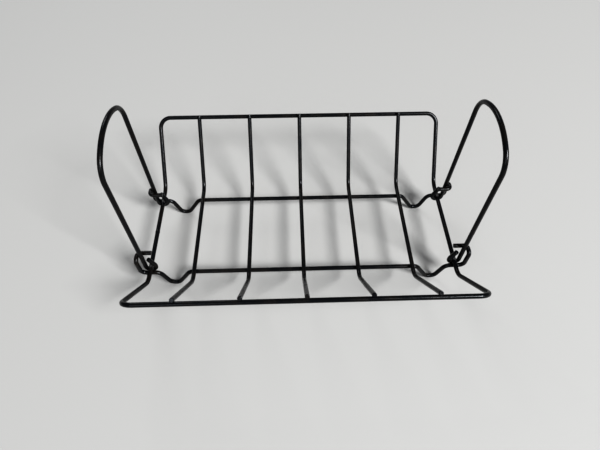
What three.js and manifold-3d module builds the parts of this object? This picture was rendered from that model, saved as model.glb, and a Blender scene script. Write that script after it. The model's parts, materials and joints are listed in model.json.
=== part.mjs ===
// A wire rack for roasting and cooling: a trough-shaped bed on four feet, with a bail
// handle at each end that folds down flat inside it. Every piece is one bent round wire.
// Millimetres, +Z up. X runs along the rack from handle to handle, and Y runs across it.
// The origin is on the surface that the rack stands on, under the middle of the bed.

import * as THREE from 'three';
import * as BufferGeometryUtils from 'three/addons/utils/BufferGeometryUtils.js';
import Module from 'manifold-3d';

const wasm = await Module();
wasm.setup();

// The wires
const wireDiameter = 4.8;
const crossWireDiameter = 4.6;
const clearance = 0.3; // left between two wires that touch or are welded together

// The bed, measured on centre lines from its middle
const bedHeight = 30; // above the surface
const bedHalfLength = 170; // to a side wire
const bedHalfWidth = 66.6; // to the line where the sides of the trough start to rise
const sideAngle = THREE.MathUtils.degToRad(47.8); // slope of the trough's sides
const sideLength = 87; // from the bend to the top rail
const sideBendRadius = 16.8;
const railCornerRadius = 12.7;
const crossWireCount = 5;
const crossWirePitch = 60.8;
const crossWireOverhang = 1.8; // cross wire end past the rail's centre line
const endWeldSink = 0.9; // how far a weld presses the end of a cross wire into its rail

// The butt weld that closes the perimeter frame, in the middle of the left side wire
const weldLength = 3;
const weldHeight = 0.25;
const weldSplit = 0.2; // between the two wire ends inside the weld

// The foot rails, which run under the bed and carry a foot and a handle stop at each end
const footRailOffset = 51.4; // from the middle of the bed
const footInnerTop = 127.8;
const footInnerBottom = 143.1;
const footOuterBottom = 152.9;
const footOuterTop = 160.9;
const footBendRadius = 7;
const footShoulderRadius = 8.5;
const stopReach = 181; // from the middle of the bed to the upright of the stop
const stopHeight = 18.8; // stop's upper leg above the bed
const stopEnd = 165.8; // from the middle of the bed to the cut end of the upper leg
const stopSidestep = 10.6; // from the foot rail to the upper leg, towards the middle
const stopLowerRadius = 6;
const stopUpperRadius = 4.2;

// The handles
const legOffset = 6; // from the side wire to the leg, outwards
const handleLean = THREE.MathUtils.degToRad(0.6); // upright against its stops, leaning in
const legTopHalfSpan = 44.1; // middle of the handle to the top of a leg
const shoulderHeight = 149.7; // above the bed
const gripPeak = 174.6; // where the two slopes of the grip would meet
const shoulderRadius = 25;
const gripRadius = 63;
const eyeDepth = 5.8; // from the side wire down to the bottom of the eye
const eyeInset = 5.1; // from the side wire to the inner side of the eye
const tailBendHeight = 2.6;
const tailTipInset = 0.4;
const tailTipHeight = 14.6;
const eyeBendRadius = 5.2;
const tailBendRadius = 3;

// Shape of the sweeps
const sectionSides = 12;
const bendStep = THREE.MathUtils.degToRad(18); // turn between two sections of a bend
const notchSides = 24;
const notchLength = 12;

const wireGap = wireDiameter + clearance; // centre to centre, where two wires touch
const endWeldGap = (wireDiameter + crossWireDiameter) / 2 - endWeldSink; // centre to centre
const sectionReach = wireDiameter / 2 / Math.cos(Math.PI / sectionSides); // to its corners
const railOffset = bedHalfWidth + sideLength * Math.cos(sideAngle);
const railHeight = sideLength * Math.sin(sideAngle); // above the bed
const footRailDepth = wireGap; // below the bed
const footDepth = bedHeight - wireDiameter / 2; // bed to the centre line of a foot's sole
const legBaseHalfSpan = footRailOffset - wireGap; // a leg stands close beside the foot rail

const down = new THREE.Vector3(0, 0, -1);

// One corner of a wire's centre line, rounded to an arc of the given radius.
function corner(x, y, z, radius = 0) {
  return { point: new THREE.Vector3(x, y, z), radius };
}

// A wire's centre line: straight runs joined by arcs. Sections stand only at the two ends
// and along the bends, so a straight run is a single prism.
class BentWire extends THREE.Curve {
  constructor(corners) {
    super();
    this.stations = [];
    const last = corners.length - 1;
    const startTangent = corners[1].point.clone().sub(corners[0].point).normalize();
    const endTangent = corners[last].point.clone().sub(corners[last - 1].point).normalize();
    this.stations.push({ point: corners[0].point, tangent: startTangent });
    for (let index = 1; index < last; index += 1) {
      this.addBend(corners[index - 1].point, corners[index], corners[index + 1].point);
    }
    this.stations.push({ point: corners[last].point, tangent: endTangent });
    this.steps = this.stations.length - 1;
  }

  addBend(before, { point, radius }, after) {
    const incoming = point.clone().sub(before).normalize();
    const outgoing = after.clone().sub(point).normalize();
    const turn = incoming.angleTo(outgoing);
    const axis = incoming.clone().cross(outgoing).normalize();
    const start = point.clone().addScaledVector(incoming, -radius * Math.tan(turn / 2));
    const inward = axis.clone().cross(incoming);
    const centre = start.clone().addScaledVector(inward, radius);
    const pieces = Math.max(2, Math.ceil(turn / bendStep));
    for (let piece = 0; piece <= pieces; piece += 1) {
      const angle = (turn * piece) / pieces;
      const spoke = inward.clone().multiplyScalar(-radius).applyAxisAngle(axis, angle);
      const tangent = incoming.clone().applyAxisAngle(axis, angle);
      this.stations.push({ point: centre.clone().add(spoke), tangent });
    }
  }

  station(u) {
    return this.stations[Math.round(u * this.steps)];
  }

  getPoint(u, target = new THREE.Vector3()) {
    return target.copy(this.station(u).point);
  }

  getPointAt(u, target) {
    return this.getPoint(u, target);
  }

  getTangentAt(u, target = new THREE.Vector3()) {
    return target.copy(this.station(u).tangent);
  }
}

// A round section drawn as a polygon whose flat sides lie on the wire's true diameter.
function wireSection(diameter, turn) {
  const reach = diameter / 2 / Math.cos(Math.PI / sectionSides);
  const points = [];
  for (let side = 0; side < sectionSides; side += 1) {
    const angle = turn + (2 * Math.PI * (side + 0.5)) / sectionSides;
    points.push(new THREE.Vector2(reach * Math.cos(angle), reach * Math.sin(angle)));
  }
  return new THREE.Shape(points);
}

// Sweeps a wire along its corners. The section is turned so that, in the middle of the
// wire, one flat side faces straight down.
function bendWire(corners, diameter = wireDiameter) {
  const path = new BentWire(corners);
  const frames = path.computeFrenetFrames(path.steps, false);
  const middle = Math.floor(path.steps / 2);
  const turn = Math.atan2(frames.binormals[middle].dot(down), frames.normals[middle].dot(down));
  return new THREE.ExtrudeGeometry(wireSection(diameter, turn), {
    steps: path.steps,
    extrudePath: path,
  });
}

// The corners of a symmetrical wire: the given half, then its mirror image in reverse.
function withMirror(half, mirrorAxis) {
  const mirrored = half.map(({ point, radius }) => {
    const image = point.clone();
    image[mirrorAxis] *= -1;
    return { point: image, radius };
  });
  return [...half, ...mirrored.reverse()];
}

function toManifold(geometry) {
  const bare = geometry.clone();
  bare.deleteAttribute('normal');
  bare.deleteAttribute('uv');
  bare.clearGroups();
  const merged = BufferGeometryUtils.mergeVertices(bare);
  const vertProperties = new Float32Array(merged.attributes.position.array);
  const triVerts = new Uint32Array(merged.index.array);
  return new wasm.Manifold(new wasm.Mesh({ numProp: 3, vertProperties, triVerts }));
}

function toGeometry(manifold) {
  const { vertProperties, triVerts } = manifold.getMesh();
  const geometry = new THREE.BufferGeometry();
  geometry.setAttribute('position', new THREE.BufferAttribute(vertProperties, 3));
  geometry.setIndex(new THREE.BufferAttribute(triVerts, 1));
  geometry.computeVertexNormals();
  return geometry;
}

// One closed loop: two side wires, the rising sides and the two top rails. Its ends meet in
// the middle of the left side wire, butt-welded in a collar a little thicker than the wire.
function perimeterFrameGeometry() {
  const half = [
    corner(-bedHalfLength, weldSplit / 2, 0),
    corner(-bedHalfLength, bedHalfWidth, 0, sideBendRadius),
    corner(-bedHalfLength, railOffset, railHeight, railCornerRadius),
    corner(bedHalfLength, railOffset, railHeight, railCornerRadius),
    corner(bedHalfLength, bedHalfWidth, 0, sideBendRadius),
  ];
  const loop = bendWire(withMirror(half, 'y'));
  const weldRadius = wireDiameter / 2 + weldHeight;
  const collar = new THREE.CylinderGeometry(weldRadius, weldRadius, weldLength, sectionSides);
  collar.translate(-bedHalfLength, 0, 0);
  return toGeometry(toManifold(loop).add(toManifold(collar)));
}

// A cross wire follows the trough and leans in enough to lie on the inner side of both
// rails. Each end is cut off just above its rail, and notched where the weld sinks it in.
function crossWireGeometry() {
  const toRail = new THREE.Vector2(railOffset - bedHalfWidth, railHeight);
  const slope = toRail.angle() + Math.asin(endWeldGap / toRail.length());
  const alongSide = Math.sqrt(toRail.lengthSq() - endWeldGap ** 2) + crossWireOverhang;
  const tipOffset = bedHalfWidth + alongSide * Math.cos(slope);
  const tipHeight = alongSide * Math.sin(slope);
  const half = [corner(0, -tipOffset, tipHeight), corner(0, -bedHalfWidth, 0, sideBendRadius)];
  let wire = toManifold(bendWire(withMirror(half, 'y'), crossWireDiameter));
  const notchRadius = sectionReach + clearance;
  for (const offset of [-railOffset, railOffset]) {
    const notch = new THREE.CylinderGeometry(notchRadius, notchRadius, notchLength, notchSides);
    notch.rotateZ(Math.PI / 2);
    notch.translate(0, offset, railHeight);
    wire = wire.subtract(toManifold(notch));
  }
  return toGeometry(wire);
}

// A foot rail, drawn on its own line with the middle of the bed towards -Y. From either
// end: the stop's upper leg, its upright, the foot, and the long straight run.
function footRailGeometry() {
  const half = [
    corner(-stopEnd, -stopSidestep, stopHeight),
    corner(-stopReach, -stopSidestep, stopHeight, stopUpperRadius),
    corner(-stopReach, 0, stopHeight, stopUpperRadius),
    corner(-stopReach, 0, -footRailDepth, stopLowerRadius),
    corner(-footOuterTop, 0, -footRailDepth, footShoulderRadius),
    corner(-footOuterBottom, 0, -footDepth, footBendRadius),
    corner(-footInnerBottom, 0, -footDepth, footBendRadius),
    corner(-footInnerTop, 0, -footRailDepth, footShoulderRadius),
  ];
  return bendWire(withMirror(half, 'x'));
}

// A handle, drawn upright with the middle of the bed towards -X of its side wire. From
// either end: the tail, the eye around the side wire, the leg, the shoulder and the grip.
function handleGeometry() {
  const eyePlane = -legBaseHalfSpan;
  const leanAt = (height) => legOffset - (height + eyeDepth) * Math.tan(handleLean);
  const half = [
    corner(-tailTipInset, eyePlane, tailTipHeight),
    corner(-eyeInset, eyePlane, tailBendHeight, tailBendRadius),
    corner(-eyeInset, eyePlane, -eyeDepth, eyeBendRadius),
    corner(legOffset, eyePlane, -eyeDepth, eyeBendRadius),
    corner(leanAt(shoulderHeight), -legTopHalfSpan, shoulderHeight, shoulderRadius),
  ];
  const bothHalves = withMirror(half, 'y');
  const peak = corner(leanAt(gripPeak), 0, gripPeak, gripRadius);
  return bendWire([...bothHalves.slice(0, half.length), peak, ...bothHalves.slice(half.length)]);
}

function blackCoating(color) {
  return new THREE.MeshStandardMaterial({ color, roughness: 0.38, metalness: 0.15 });
}

function addPiece(group, name, geometry, color) {
  const mesh = new THREE.Mesh(geometry, blackCoating(color));
  mesh.name = name;
  group.add(mesh);
  return mesh;
}

const rack = new THREE.Group();
const bed = new THREE.Group();
bed.position.z = bedHeight;
rack.add(bed);

addPiece(bed, 'perimeter_frame', perimeterFrameGeometry(), 0x17181a);

const crossWire = crossWireGeometry();
for (let index = 0; index < crossWireCount; index += 1) {
  const piece = addPiece(bed, `cross_wire_${index + 1}`, crossWire, 0x1a1b1d);
  piece.position.x = (index - (crossWireCount - 1) / 2) * crossWirePitch;
}

const footRail = footRailGeometry();
const backFootRail = addPiece(bed, 'foot_rail_back', footRail, 0x17181a);
backFootRail.position.y = footRailOffset;
const frontFootRail = addPiece(bed, 'foot_rail_front', footRail, 0x17181a);
frontFootRail.position.y = -footRailOffset;
frontFootRail.rotation.z = Math.PI;

const handle = handleGeometry();
const rightHandle = addPiece(bed, 'handle_right', handle, 0x151618);
rightHandle.position.x = bedHalfLength;
const leftHandle = addPiece(bed, 'handle_left', handle, 0x151618);
leftHandle.position.x = -bedHalfLength;
leftHandle.rotation.z = Math.PI;

export default rack;
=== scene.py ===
"""The looks of a black wire rack for roasting and cooling, with a folding bail handle at each end.

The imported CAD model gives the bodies, the hinges and the places of the wires. Each wire is made
again here as a smooth round wire with its cut ends, welds and coating. Metres, +Z up.
"""

import json
import math
import random

import bpy
from mathutils import Matrix, Quaternion, Vector


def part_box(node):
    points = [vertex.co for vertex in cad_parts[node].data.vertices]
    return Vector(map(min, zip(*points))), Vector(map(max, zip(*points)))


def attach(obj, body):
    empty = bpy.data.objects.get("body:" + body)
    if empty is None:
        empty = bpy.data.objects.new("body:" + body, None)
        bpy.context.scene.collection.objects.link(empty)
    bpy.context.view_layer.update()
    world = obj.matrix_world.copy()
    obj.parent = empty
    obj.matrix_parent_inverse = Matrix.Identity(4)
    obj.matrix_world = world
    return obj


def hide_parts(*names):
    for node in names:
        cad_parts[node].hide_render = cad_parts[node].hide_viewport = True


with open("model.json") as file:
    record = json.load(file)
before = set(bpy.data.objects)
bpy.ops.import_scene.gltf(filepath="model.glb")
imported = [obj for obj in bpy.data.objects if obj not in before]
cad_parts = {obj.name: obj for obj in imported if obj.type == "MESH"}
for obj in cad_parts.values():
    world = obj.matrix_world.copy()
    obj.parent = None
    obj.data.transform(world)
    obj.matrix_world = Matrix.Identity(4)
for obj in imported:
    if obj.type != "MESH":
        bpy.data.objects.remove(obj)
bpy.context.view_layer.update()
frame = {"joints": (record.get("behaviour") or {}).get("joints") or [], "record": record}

MM = 0.001
hinges = {joint["child"]: Vector(joint["pos_m"]) for joint in frame["joints"]}
bodies = frame["record"]["behaviour"]["bodies"]

# The wires
WIRE_RADIUS = 2.4 * MM
CROSS_WIRE_RADIUS = 2.3 * MM
WIRE_GAP = 5.1 * MM  # centre to centre, where a wire lies on another
END_WELD_GAP = 3.8 * MM  # where the end of a cross wire is sunk into its rail

# The bed, from its middle, as the CAD's centre lines run
BED_HALF_LENGTH = hinges["handle_right"].x
BED_HEIGHT = hinges["handle_right"].z
BED_HALF_WIDTH = 66.6 * MM
SIDE_ANGLE = math.radians(47.8)
SIDE_LENGTH = 87 * MM
SIDE_BEND_RADIUS = 16.8 * MM
RAIL_CORNER_RADIUS = 12.7 * MM
CROSS_WIRE_OVERHANG = 1.8 * MM
RAIL_OFFSET = BED_HALF_WIDTH + SIDE_LENGTH * math.cos(SIDE_ANGLE)
RAIL_HEIGHT = SIDE_LENGTH * math.sin(SIDE_ANGLE)

# The foot rails, which end in the handles' stops
FOOT_RAIL_OFFSET = 51.4 * MM
FOOT_RAIL_DEPTH = WIRE_GAP
FOOT_DEPTH = BED_HEIGHT - WIRE_RADIUS
FOOT_INNER_TOP = 127.8 * MM
FOOT_INNER_BOTTOM = 143.1 * MM
FOOT_OUTER_BOTTOM = 152.9 * MM
FOOT_OUTER_TOP = 160.9 * MM
FOOT_BEND_RADIUS = 7 * MM
FOOT_SHOULDER_RADIUS = 8.5 * MM
STOP_REACH = 181 * MM
STOP_HEIGHT = 18.8 * MM
STOP_END = 165.8 * MM
STOP_SIDESTEP = 10.6 * MM
STOP_LOWER_RADIUS = 6 * MM
STOP_UPPER_RADIUS = 4.2 * MM

# The handles
LEG_OFFSET = 6 * MM
HANDLE_LEAN = math.radians(0.6)
LEG_BASE_HALF_SPAN = FOOT_RAIL_OFFSET - WIRE_GAP
LEG_TOP_HALF_SPAN = 44.1 * MM
SHOULDER_HEIGHT = 149.7 * MM
GRIP_PEAK = 174.6 * MM
SHOULDER_RADIUS = 25 * MM
GRIP_RADIUS = 63 * MM
EYE_DEPTH = 5.8 * MM
EYE_INSET = 5.1 * MM
EYE_BEND_RADIUS = 5.2 * MM
TAIL_BEND_HEIGHT = 2.6 * MM
TAIL_BEND_RADIUS = 3 * MM
TAIL_TIP_INSET = 0.4 * MM
TAIL_TIP_HEIGHT = 14.6 * MM

# How fine the meshes are
SECTION_SIDES = 32
STRAIGHT_STEP = 3 * MM
BEND_STEP = math.radians(5)
LEAST_BEND_PIECES = 4
STEP_ROUNDING = 0.01  # of a step, so that a whole number of steps isn't counted as one more
SEAM_STEP = 0.4 * MM  # between stations at the butt weld
SEAM_STATIONS = 7  # on each side of its middle
CUT_EDGE_ROWS = 4
SHARP_ANGLE = math.radians(50)  # faces that meet at more than this are shaded apart

# Small things that bending, cutting and welding leave on a wire
FLATTENING = 0.08  # of the radius, in a bend as tight as the wire is thick
CUT_EDGE = 0.4 * MM  # rolled edge round a cut end
CUT_DISH = 0.08 * MM  # hollow in the middle of a cut end
HALFWAY_DISH = 0.7  # of that hollow, halfway out from the middle
BUTT_WELD_HEIGHT = 0.22 * MM
BUTT_WELD_HALF_LENGTH = 1.4 * MM
FILLET_REACH = 2.05 * MM  # weld metal beside a crossing, from its middle
FILLET_WAIST = 0.68  # its narrowest, as a share of its reach
END_FILLET_WAIST = 0.95  # the same, where an end is sunk into its rail
END_FILLET_SHORT_SIDE = 0.78  # its reach towards a cross wire's end, as a share of the rest
FILLET_EMBED = 0.12 * MM  # how far it goes into the wires it joins
FILLET_UNEVENNESS = 0.03  # of its reach, in each of its waves
FILLET_WAVES = 3  # of two, three and four to the turn
FILLET_SEED = 7
FILLET_SIDES = 32
FILLET_ROWS = 8
FIT_TOLERANCE = 0.12 * MM  # a 12-sided CAD wire against a round one
NOTCH_TOLERANCE = 0.5 * MM  # the same, where the CAD wire is notched for the one it sinks into

# Where use has rubbed the coating, and how far round each place
SIDE_WIRE_WEAR = 9 * MM
EYE_WEAR = 7 * MM
STOP_WEAR = 6 * MM
SOLE_WEAR = 5.5 * MM

# The coating. Its noises have this many features to the metre, and run from 0 to 1.
PATCH_SCALE = 55
ORANGE_PEEL_SCALE = 700
GRAIN_SCALE = 4200
PATCH_RANGE = (0.3, 0.7)
GRAIN_RANGE = (0.35, 0.75)
BROWN_EDGE = (0.42, 0.68)  # of the patches, from where brown starts to where it is full
SPECK_EDGE = (0.62, 0.8)  # of the grain, likewise
SPECK_STRENGTH = 0.5
RAGGEDNESS = 0.5  # how much of the orange peel is added to the wear
POLISH_EDGE = (0.72, 1.05)  # of that sum, likewise
ORANGE_PEEL_DEPTH = 0.05 * MM
GRAIN_DEPTH = 0.006 * MM
SPECK_COLOUR = (0.03, 0.03, 0.032)
BARE_METAL_COLOUR = (0.2, 0.195, 0.19)
COATING_IOR = 1.38
COATING_SPECULAR = 0.35
COATING_ROUGHNESS = (0.19, 0.31)  # from patch to patch
GRAIN_ROUGHNESS = (-0.03, 0.06)  # added by the grain
POLISH_ROUGHNESS = -0.08  # added where the coating is polished through
POLISH_METALLIC = 0.9
RACK_BLACK = (0.0036, 0.004, 0.0048)
RACK_BROWN = (0.0075, 0.006, 0.005)
RACK_POLISH = 0.35
HANDLE_BLACK = (0.0034, 0.0037, 0.0044)
HANDLE_BROWN = (0.007, 0.0057, 0.0048)
HANDLE_POLISH = 0.45

# The floor and the light
FLOOR_RADIUS = 12.0
FLOOR_SIDES = 96
FLOOR_COLOUR = (0.4, 0.386, 0.368)
FLOOR_ROUGHNESS = 0.7
DAYLIGHT = (0.94, 0.97, 1.0)
SKYLIGHT = (0.86, 0.93, 1.0)
ROOM_COLOUR = (0.86, 0.89, 0.93)
ROOM_STRENGTH = 0.18

# The camera
SENSOR_WIDTH = 36
LENS_LENGTH = 26.81  # for that sensor
LENS_AXIS_OFFSET = 0.5 / 600  # of the picture's width, to the right of and below its middle
CAMERA_PLACE = (-0.013456, -0.305334, 0.461863)
CAMERA_DOWNWARD = math.radians(54.287)
CAMERA_TURN = math.radians(-2.142)
CAMERA_ROLL = math.radians(0.452)


# ---------------------------------------------------------------- centre lines


class Station:
    """One place on a wire's centre line: where it is, where it heads, and how it bends."""

    def __init__(self, point, heading, inward=None, flattening=0.0):
        self.point = point
        self.heading = heading
        self.inward = inward or Vector((0, 0, 0))
        self.flattening = flattening


def corner(x, y, z, radius=0.0):
    """One corner of a centre line, rounded to that radius."""
    return Vector((x, y, z)), radius


def bend(before, point, radius, after):
    """The stations along the arc that rounds one corner."""
    incoming = (point - before).normalized()
    outgoing = (after - point).normalized()
    turn = incoming.angle(outgoing)
    axis = incoming.cross(outgoing).normalized()
    inward = axis.cross(incoming)
    centre = point - incoming * radius * math.tan(turn / 2) + inward * radius
    pieces = max(LEAST_BEND_PIECES, math.ceil(turn / BEND_STEP))
    most_flattened = FLATTENING * WIRE_RADIUS / radius
    for piece in range(pieces + 1):
        share = piece / pieces
        turned = Quaternion(axis, turn * share)
        spoke = turned @ inward
        flattening = most_flattened * math.sin(math.pi * share)
        yield Station(centre - spoke * radius, turned @ incoming, spoke, flattening)


def straight(start, end):
    """Stations between two others, so that none are further apart than the straight step."""
    run = end.point - start.point
    pieces = math.ceil(run.length / STRAIGHT_STEP - STEP_ROUNDING)
    for piece in range(1, pieces):
        yield Station(start.point + run * piece / pieces, run.normalized())


def centre_line(corners, closed=False):
    """All the stations of a wire, in order. A closed one doesn't repeat its first."""
    count = len(corners)
    bends = []
    for index, (point, radius) in enumerate(corners):
        before = corners[index - 1][0]
        after = corners[(index + 1) % count][0]
        if not closed and index in (0, count - 1):
            heading = after - point if index == 0 else point - before
            bends.append([Station(point, heading.normalized())])
        elif radius:
            bends.append(list(bend(before, point, radius, after)))
        else:
            bends.append([Station(point, (after - before).normalized())])
    stations = []
    for index, here in enumerate(bends):
        stations += here
        if closed or index < count - 1:
            stations += straight(here[-1], bends[(index + 1) % count][0])
    return stations


def with_mirror(half, axis):
    """The corners of a symmetrical wire: the given half, then its mirror image in reverse."""
    mirrored = []
    for point, radius in reversed(half):
        image = point.copy()
        image[axis] = -image[axis]
        mirrored.append((image, radius))
    return half + mirrored


def turned_over(corners):
    """The same corners after half a turn about the vertical."""
    return [(Vector((-point.x, -point.y, point.z)), radius) for point, radius in corners]


def moved(corners, shift):
    """The same corners, moved."""
    return [(point + Vector(shift), radius) for point, radius in corners]


# ---------------------------------------------------------------------- meshes


class Shell:
    """The vertices and faces of a piece, gathered from its wire and its welds."""

    def __init__(self):
        self.points = []
        self.faces = []

    def add(self, rings, closed=False, tips=()):
        """Joins rings of equally many points. tips are the two points that close an open run."""
        first = len(self.points)
        sides = len(rings[0])
        for points in rings:
            self.points += points
        for row in range(len(rings) if closed else len(rings) - 1):
            here = first + row * sides
            after = first + (row + 1) % len(rings) * sides
            for side in range(sides):
                beside = (side + 1) % sides
                self.faces.append((here + side, here + beside, after + beside, after + side))
        if tips:
            start_tip = len(self.points)
            end_tip = start_tip + 1
            self.points += tips
            last = first + (len(rings) - 1) * sides
            for side in range(sides):
                beside = (side + 1) % sides
                self.faces.append((start_tip, first + beside, first + side))
                self.faces.append((end_tip, last + side, last + beside))


def carried_frames(stations, closed):
    """One side direction for each station, carried along the wire without twist."""
    side = stations[0].heading.orthogonal().normalized()
    sides = [side]
    for before, here in zip(stations, stations[1:]):
        side = before.heading.rotation_difference(here.heading) @ side
        sides.append(side)
    if closed:
        back = stations[-1].heading.rotation_difference(stations[0].heading) @ side
        twist = math.atan2(back.cross(sides[0]).dot(stations[0].heading), back.dot(sides[0]))
        for index, station in enumerate(stations):
            share = Quaternion(station.heading, twist * index / len(stations))
            sides[index] = share @ sides[index]
    return sides


def ring(station, side, radius, along=0.0):
    """The points round a wire at one station, or a little further along it."""
    across = station.heading.cross(side)
    middle = station.point + station.heading * along
    points = []
    for step in range(SECTION_SIDES):
        angle = 2 * math.pi * step / SECTION_SIDES
        offset = (side * math.cos(angle) + across * math.sin(angle)) * radius
        offset -= station.inward * offset.dot(station.inward) * station.flattening
        points.append(middle + offset)
    return points


def cut_end(station, side, radius, direction):
    """The rings of a sheared end, from the full wire to its face, and the point in the middle."""
    rings = []
    for step in range(CUT_EDGE_ROWS + 1):
        angle = math.pi / 2 * step / CUT_EDGE_ROWS
        inset = CUT_EDGE * (1 - math.sin(angle))
        shrink = CUT_EDGE * (1 - math.cos(angle))
        rings.append(ring(station, side, radius - shrink, -direction * inset))
    rings.append(ring(station, side, radius / 2, -direction * CUT_DISH * HALFWAY_DISH))
    return rings, station.point - station.heading * direction * CUT_DISH


def add_wire(shell, node, corners, radius, closed=False, swell=None, tolerance=FIT_TOLERANCE):
    """Adds a round wire along its corners, where the CAD node of that name has it to within the
    tolerance. swell gives what a weld adds to the radius at a point."""
    stations = centre_line(corners, closed)
    sides = carried_frames(stations, closed)
    rings = []
    for station, side in zip(stations, sides):
        extra = swell(station.point) if swell else 0.0
        rings.append(ring(station, side, radius + extra))
    check_fit(sum(rings, []), node, tolerance)
    if closed:
        shell.add(rings, closed=True)
        return
    start, start_tip = cut_end(stations[0], sides[0], radius, -1)
    end, end_tip = cut_end(stations[-1], sides[-1], radius, 1)
    shell.add(start[::-1] + rings[1:-1] + end, tips=[start_tip, end_tip])


def add_fillet(shell, lower, lower_heading, lower_radius, upper, upper_heading, upper_radius,
               chance, short_side=1.0, waist_share=FILLET_WAIST):
    """Adds the weld metal between two crossing wires, which the two centre lines' nearest points
    and headings place. short_side shortens it along the upper wire, towards that wire's end, and
    waist_share is its narrowest as a share of its reach."""
    normal = (upper - lower).normalized()
    gap = (upper - lower).length - lower_radius - upper_radius
    middle = lower + normal * (lower_radius + gap / 2)
    across = normal.cross(lower_heading)
    rings = [[] for _ in range(FILLET_ROWS + 1)]
    wobble = [chance.uniform(0, 2 * math.pi) for _ in range(FILLET_WAVES)]
    for step in range(FILLET_SIDES):
        angle = 2 * math.pi * step / FILLET_SIDES
        heading = lower_heading * math.cos(angle) + across * math.sin(angle)
        uneven = 1 + sum(FILLET_UNEVENNESS * math.sin((order + 2) * angle + phase)
                         for order, phase in enumerate(wobble))
        towards_end = max(0.0, heading.dot(upper_heading))
        reach = FILLET_REACH * uneven * (1 - (1 - short_side) * towards_end)
        waist = reach * waist_share
        off_lower = reach * heading.cross(lower_heading).length
        off_upper = reach * heading.cross(upper_heading).length
        bottom = math.sqrt(lower_radius**2 - off_lower**2) - lower_radius - gap / 2 - FILLET_EMBED
        top = upper_radius + gap / 2 - math.sqrt(upper_radius**2 - off_upper**2) + FILLET_EMBED
        for row in range(FILLET_ROWS + 1):
            turn = math.pi * row / FILLET_ROWS
            out = reach - (reach - waist) * math.sin(turn)
            height = (bottom + top) / 2 - (top - bottom) / 2 * math.cos(turn)
            rings[row].append(middle + heading * out + normal * height)
    inside = lower_radius / 2
    shell.add(rings, tips=[middle - normal * inside, middle + normal * inside])


def make_piece(name, shell, body, material, rubbed=()):
    """Makes the piece that stands for the CAD node of that name. rubbed is a list of places and
    how far round each the coating is polished by use."""
    mesh = bpy.data.meshes.new(name)
    mesh.from_pydata(shell.points, [], shell.faces)
    mesh.validate()
    mesh.shade_smooth()
    mesh.set_sharp_from_angle(angle=SHARP_ANGLE)
    wear = mesh.attributes.new("rubbed", "FLOAT", "POINT")
    for vertex, value in zip(mesh.vertices, wear.data):
        value.value = max((1 - (vertex.co - place).length / reach for place, reach in rubbed),
                          default=0.0)
    mesh.materials.append(material)
    piece = bpy.data.objects.new(f"{name}.fine", mesh)
    bpy.context.scene.collection.objects.link(piece)
    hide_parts(name)
    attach(piece, body)


def check_fit(points, node, tolerance):
    """Stops the script if a wire's box is further than the tolerance from that of its CAD node."""
    low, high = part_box(node)
    for axis in range(3):
        values = [point[axis] for point in points]
        miss = max(abs(min(values) - low[axis]), abs(max(values) - high[axis]))
        if miss > tolerance:
            raise ValueError(f"{node} is {miss / MM:.2f} mm out along {'XYZ'[axis]}")


# ------------------------------------------------------------------- materials


def shader_node(tree, kind, **settings):
    """A shader node. Settings are its properties, or values of its inputs by name."""
    made = tree.nodes.new(kind)
    for key, value in settings.items():
        if hasattr(made, key):
            setattr(made, key, value)
        else:
            made.inputs[key.capitalize()].default_value = value
    return made


def noise(tree, place, scale, detail=2.0, roughness=0.5):
    """Noise of about that many features to the metre."""
    settings = {"scale": scale, "detail": detail, "roughness": roughness}
    made = shader_node(tree, "ShaderNodeTexNoise", **settings)
    tree.links.new(place.outputs["Object"], made.inputs["Vector"])
    return made.outputs["Fac"]


def span(tree, value, low, high, new_low, new_high):
    """A value's range, taken smoothly to another range and held at its ends."""
    made = shader_node(tree, "ShaderNodeMapRange", interpolation_type="SMOOTHSTEP")
    limits = {"From Min": low, "From Max": high, "To Min": new_low, "To Max": new_high}
    for name, number in limits.items():
        made.inputs[name].default_value = number
    tree.links.new(value, made.inputs["Value"])
    return made.outputs["Result"]


def blend_colour(tree, share, first, second):
    """A colour between two, each a colour or another node's output."""
    made = shader_node(tree, "ShaderNodeMix", data_type="RGBA")
    tree.links.new(share, made.inputs["Factor"])
    # The node has sockets for each type of data. Inputs 6 and 7 and output 2 are for colours.
    for socket, colour in ((made.inputs[6], first), (made.inputs[7], second)):
        if isinstance(colour, tuple):
            socket.default_value = (*colour, 1)
        else:
            tree.links.new(colour, socket)
    return made.outputs[2]


def calculate(tree, operation, first, second):
    """The result of one operation on two values, each a number or another node's output."""
    made = shader_node(tree, "ShaderNodeMath", operation=operation)
    for socket, value in zip(made.inputs, (first, second)):
        if isinstance(value, (int, float)):
            socket.default_value = value
        else:
            tree.links.new(value, socket)
    return made.outputs[0]


def raised(tree, height, distance, below=None):
    """A bump of that height in metres, on top of another."""
    made = shader_node(tree, "ShaderNodeBump", strength=1.0, distance=distance)
    tree.links.new(height, made.inputs["Height"])
    if below:
        tree.links.new(below, made.inputs["Normal"])
    return made.outputs["Normal"]


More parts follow.
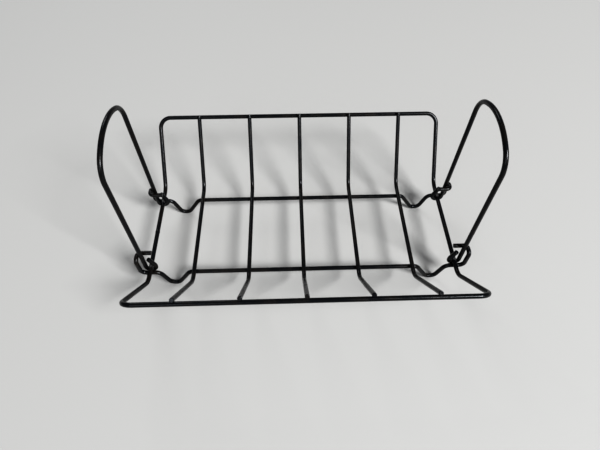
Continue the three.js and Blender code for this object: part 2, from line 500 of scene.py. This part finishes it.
def coating(name, black, brown, polish):
    """Satin black non-stick coating sprayed on steel wire. polish is how far the rubbed places
    have gone towards bare, bright metal."""
    material = bpy.data.materials.new(name)
    material.use_nodes = True
    tree = material.node_tree
    shader = tree.nodes["Principled BSDF"]
    place = shader_node(tree, "ShaderNodeTexCoord")
    rubbed = shader_node(tree, "ShaderNodeAttribute", attribute_name="rubbed").outputs["Fac"]

    patches = noise(tree, place, PATCH_SCALE, detail=3)
    orange_peel = noise(tree, place, ORANGE_PEEL_SCALE, detail=1.5)
    grain = noise(tree, place, GRAIN_SCALE, detail=2)

    # The orange peel breaks up the edges of the rubbed places.
    ragged = calculate(tree, "ADD", rubbed, calculate(tree, "MULTIPLY", orange_peel, RAGGEDNESS))
    polished = span(tree, ragged, *POLISH_EDGE, 0.0, polish)

    tone = blend_colour(tree, span(tree, patches, *BROWN_EDGE, 0.0, 1.0), black, brown)
    specks = span(tree, grain, *SPECK_EDGE, 0.0, SPECK_STRENGTH)
    speckled = blend_colour(tree, specks, tone, SPECK_COLOUR)
    colour = blend_colour(tree, polished, speckled, BARE_METAL_COLOUR)
    tree.links.new(colour, shader.inputs["Base Color"])

    uneven = calculate(tree, "ADD", span(tree, patches, *PATCH_RANGE, *COATING_ROUGHNESS),
                       span(tree, grain, *GRAIN_RANGE, *GRAIN_ROUGHNESS))
    smoother = calculate(tree, "MULTIPLY", polished, POLISH_ROUGHNESS)
    tree.links.new(calculate(tree, "ADD", uneven, smoother), shader.inputs["Roughness"])
    metallic = calculate(tree, "MULTIPLY", polished, POLISH_METALLIC)
    tree.links.new(metallic, shader.inputs["Metallic"])

    coarse = raised(tree, orange_peel, ORANGE_PEEL_DEPTH)
    tree.links.new(raised(tree, grain, GRAIN_DEPTH, coarse), shader.inputs["Normal"])
    shader.inputs["IOR"].default_value = COATING_IOR
    shader.inputs["Specular IOR Level"].default_value = COATING_SPECULAR
    return material


def plain(name, colour, roughness):
    """The floor's plain paint."""
    material = bpy.data.materials.new(name)
    material.use_nodes = True
    shader = material.node_tree.nodes["Principled BSDF"]
    shader.inputs["Base Color"].default_value = (*colour, 1)
    shader.inputs["Roughness"].default_value = roughness
    return material


# ----------------------------------------------------------------------- wires


def make_perimeter_frame(material):
    """The closed loop of the two sides and the two top rails, butt-welded in the left side wire."""
    seam = [index * SEAM_STEP for index in range(1, SEAM_STATIONS + 1)]
    near_seam = [corner(-BED_HALF_LENGTH, offset, BED_HEIGHT) for offset in seam]
    half = near_seam + [
        corner(-BED_HALF_LENGTH, BED_HALF_WIDTH, BED_HEIGHT, SIDE_BEND_RADIUS),
        corner(-BED_HALF_LENGTH, RAIL_OFFSET, BED_HEIGHT + RAIL_HEIGHT, RAIL_CORNER_RADIUS),
        corner(BED_HALF_LENGTH, RAIL_OFFSET, BED_HEIGHT + RAIL_HEIGHT, RAIL_CORNER_RADIUS),
        corner(BED_HALF_LENGTH, BED_HALF_WIDTH, BED_HEIGHT, SIDE_BEND_RADIUS),
    ]
    corners = [corner(-BED_HALF_LENGTH, 0, BED_HEIGHT)] + with_mirror(half, axis=1)

    def butt_weld(point):
        if point.x > 0:
            return 0.0
        share = min(1.0, abs(point.y) / (2 * BUTT_WELD_HALF_LENGTH))
        return BUTT_WELD_HEIGHT * math.cos(math.pi / 2 * share) ** 4

    shell = Shell()
    add_wire(shell, "perimeter_frame", corners, WIRE_RADIUS, closed=True, swell=butt_weld)
    eyes = [(Vector((x, y, BED_HEIGHT)), SIDE_WIRE_WEAR)
            for x in (-BED_HALF_LENGTH, BED_HALF_LENGTH)
            for y in (-LEG_BASE_HALF_SPAN, LEG_BASE_HALF_SPAN)]
    make_piece("perimeter_frame", shell, "rack", material, eyes)


def make_cross_wire(name, material, chance):
    """A cross wire, with the welds that hold it to the foot rails and the top rails."""
    low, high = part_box(name)
    x = (low.x + high.x) / 2
    to_rail = math.hypot(RAIL_OFFSET - BED_HALF_WIDTH, RAIL_HEIGHT)
    slope = SIDE_ANGLE + math.asin(END_WELD_GAP / to_rail)
    at_rail = math.sqrt(to_rail**2 - END_WELD_GAP**2)
    length = at_rail + CROSS_WIRE_OVERHANG
    tip_offset = BED_HALF_WIDTH + length * math.cos(slope)
    tip = corner(x, -tip_offset, BED_HEIGHT + length * math.sin(slope))
    half = [tip, corner(x, -BED_HALF_WIDTH, BED_HEIGHT, SIDE_BEND_RADIUS)]
    shell = Shell()
    add_wire(shell, name, with_mirror(half, axis=1), CROSS_WIRE_RADIUS, tolerance=NOTCH_TOLERANCE)
    along_rail = Vector((1, 0, 0))
    for side in (-1, 1):
        foot_rail = Vector((x, side * FOOT_RAIL_OFFSET, BED_HEIGHT - FOOT_RAIL_DEPTH))
        above = Vector((x, side * FOOT_RAIL_OFFSET, BED_HEIGHT))
        add_fillet(shell, foot_rail, along_rail, WIRE_RADIUS,
                   above, Vector((0, 1, 0)), CROSS_WIRE_RADIUS, chance)
        rail = Vector((x, side * RAIL_OFFSET, BED_HEIGHT + RAIL_HEIGHT))
        up_the_side = Vector((0, side * math.cos(slope), math.sin(slope)))
        on_wire = Vector((x, side * BED_HALF_WIDTH, BED_HEIGHT)) + up_the_side * at_rail
        add_fillet(shell, rail, along_rail, WIRE_RADIUS,
                   on_wire, up_the_side, CROSS_WIRE_RADIUS, chance,
                   short_side=END_FILLET_SHORT_SIDE, waist_share=END_FILLET_WAIST)
    make_piece(name, shell, "rack", material)


def make_foot_rail(name, side, material, chance):
    """A foot rail with its two feet and two handle stops, welded under the side wires."""
    line = [
        corner(-STOP_END, -STOP_SIDESTEP, STOP_HEIGHT),
        corner(-STOP_REACH, -STOP_SIDESTEP, STOP_HEIGHT, STOP_UPPER_RADIUS),
        corner(-STOP_REACH, 0, STOP_HEIGHT, STOP_UPPER_RADIUS),
        corner(-STOP_REACH, 0, -FOOT_RAIL_DEPTH, STOP_LOWER_RADIUS),
        corner(-FOOT_OUTER_TOP, 0, -FOOT_RAIL_DEPTH, FOOT_SHOULDER_RADIUS),
        corner(-FOOT_OUTER_BOTTOM, 0, -FOOT_DEPTH, FOOT_BEND_RADIUS),
        corner(-FOOT_INNER_BOTTOM, 0, -FOOT_DEPTH, FOOT_BEND_RADIUS),
        corner(-FOOT_INNER_TOP, 0, -FOOT_RAIL_DEPTH, FOOT_SHOULDER_RADIUS),
    ]
    corners = with_mirror(line, axis=0)
    if side < 0:
        corners = turned_over(corners)
    shell = Shell()
    y = side * FOOT_RAIL_OFFSET
    add_wire(shell, name, moved(corners, (0, y, BED_HEIGHT)), WIRE_RADIUS)
    rubbed = []
    for x in (-BED_HALF_LENGTH, BED_HALF_LENGTH):
        below = Vector((x, y, BED_HEIGHT - FOOT_RAIL_DEPTH))
        side_wire = Vector((x, y, BED_HEIGHT))
        add_fillet(shell, below, Vector((1, 0, 0)), WIRE_RADIUS,
                   side_wire, Vector((0, 1, 0)), WIRE_RADIUS, chance)
        foot = math.copysign((FOOT_INNER_BOTTOM + FOOT_OUTER_BOTTOM) / 2, x)
        rubbed.append((Vector((foot, y, 0)), SOLE_WEAR))
        stop_x = math.copysign(STOP_REACH, x)
        stop = Vector((stop_x, y - side * LEG_OFFSET, BED_HEIGHT + STOP_HEIGHT))
        rubbed.append((stop, STOP_WEAR))
    make_piece(name, shell, "rack", material, rubbed)


def make_handle(name, material):
    """A bail handle: one wire with an eye round the side wire at each end."""
    hinge = hinges[name]
    lean = math.tan(HANDLE_LEAN)
    half = [
        corner(-TAIL_TIP_INSET, -LEG_BASE_HALF_SPAN, TAIL_TIP_HEIGHT),
        corner(-EYE_INSET, -LEG_BASE_HALF_SPAN, TAIL_BEND_HEIGHT, TAIL_BEND_RADIUS),
        corner(-EYE_INSET, -LEG_BASE_HALF_SPAN, -EYE_DEPTH, EYE_BEND_RADIUS),
        corner(LEG_OFFSET, -LEG_BASE_HALF_SPAN, -EYE_DEPTH, EYE_BEND_RADIUS),
        corner(LEG_OFFSET - (SHOULDER_HEIGHT + EYE_DEPTH) * lean, -LEG_TOP_HALF_SPAN,
               SHOULDER_HEIGHT, SHOULDER_RADIUS),
    ]
    peak = corner(LEG_OFFSET - (GRIP_PEAK + EYE_DEPTH) * lean, 0, GRIP_PEAK, GRIP_RADIUS)
    both = with_mirror(half, axis=1)
    corners = both[:len(half)] + [peak] + both[len(half):]
    if hinge.x < 0:
        corners = turned_over(corners)
    shell = Shell()
    add_wire(shell, name, moved(corners, hinge), WIRE_RADIUS)
    outward = math.copysign(1, hinge.x)
    rubbed = []
    for y in (-LEG_BASE_HALF_SPAN, LEG_BASE_HALF_SPAN):
        rubbed.append((hinge + Vector((0, y, -EYE_DEPTH + WIRE_RADIUS)), EYE_WEAR))
        leg = Vector((outward * (LEG_OFFSET + WIRE_RADIUS), y, STOP_HEIGHT))
        rubbed.append((hinge + leg, STOP_WEAR))
    make_piece(name, shell, name, material, rubbed)


# ------------------------------------------------------------- floor and light


def make_floor():
    """A round pale floor that fills the camera's view."""
    angles = [2 * math.pi * step / FLOOR_SIDES for step in range(FLOOR_SIDES)]
    rim = [(FLOOR_RADIUS * math.cos(angle), FLOOR_RADIUS * math.sin(angle), 0) for angle in angles]
    mesh = bpy.data.meshes.new("floor")
    mesh.from_pydata(rim, [], [range(FLOOR_SIDES)])
    mesh.materials.append(plain("floor_paint", FLOOR_COLOUR, FLOOR_ROUGHNESS))
    floor = bpy.data.objects.new("floor", mesh)
    bpy.context.scene.collection.objects.link(floor)


def make_softbox(name, place, size, power, colour):
    """A square soft light that faces the rack."""
    light = bpy.data.lights.new(name, "AREA")
    light.shape = "SQUARE"
    light.size = size
    light.energy = power
    light.color = colour
    softbox = bpy.data.objects.new(name, light)
    softbox.location = place
    softbox.rotation_euler = Vector(place).to_track_quat("Z", "Y").to_euler()
    bpy.context.scene.collection.objects.link(softbox)


def make_light():
    """A window-like key in front on the right, a cooler fill in front on the left, a faint light
    from behind on the left, and a dim grey room. The powers are in watts."""
    make_softbox("key_light", (4.0, -3.7, 5.2), size=2.3, power=800, colour=DAYLIGHT)
    make_softbox("fill_light", (-2.2, -4.8, 3.2), size=2.4, power=60, colour=SKYLIGHT)
    make_softbox("back_light", (-1.8, 4.4, 3.8), size=2.0, power=56, colour=DAYLIGHT)
    world = bpy.data.worlds.new("studio")
    world.use_nodes = True
    background = world.node_tree.nodes["Background"]
    background.inputs["Color"].default_value = (*ROOM_COLOUR, 1)
    background.inputs["Strength"].default_value = ROOM_STRENGTH
    bpy.context.scene.world = world
    bpy.context.scene.view_settings.view_transform = "Standard"
    bpy.context.scene.view_settings.look = "High Contrast"


def make_camera():
    """The camera, in front of the rack and above it, looking down into the trough."""
    data = bpy.data.cameras.new("camera")
    data.sensor_width = SENSOR_WIDTH
    data.lens = LENS_LENGTH
    data.shift_x = -LENS_AXIS_OFFSET
    data.shift_y = LENS_AXIS_OFFSET
    camera = bpy.data.objects.new("camera", data)
    turned = Matrix.Rotation(CAMERA_TURN, 4, "Z")
    tilted = Matrix.Rotation(math.pi / 2 - CAMERA_DOWNWARD, 4, "X")
    rolled = Matrix.Rotation(CAMERA_ROLL, 4, "Z")
    place = Matrix.Translation(CAMERA_PLACE)
    camera.matrix_world = place @ turned @ tilted @ rolled
    bpy.context.scene.collection.objects.link(camera)
    bpy.context.scene.camera = camera


def main():
    make_camera()
    make_light()
    make_floor()
    rack_black = coating("rack_coating", RACK_BLACK, RACK_BROWN, RACK_POLISH)
    handle_black = coating("handle_coating", HANDLE_BLACK, HANDLE_BROWN, HANDLE_POLISH)
    chance = random.Random(FILLET_SEED)
    make_perimeter_frame(rack_black)
    for name in bodies["rack"]:
        if name.startswith("cross_wire_"):
            make_cross_wire(name, rack_black, chance)
    make_foot_rail("foot_rail_back", 1, rack_black, chance)
    make_foot_rail("foot_rail_front", -1, rack_black, chance)
    make_handle("handle_left", handle_black)
    make_handle("handle_right", handle_black)


main()
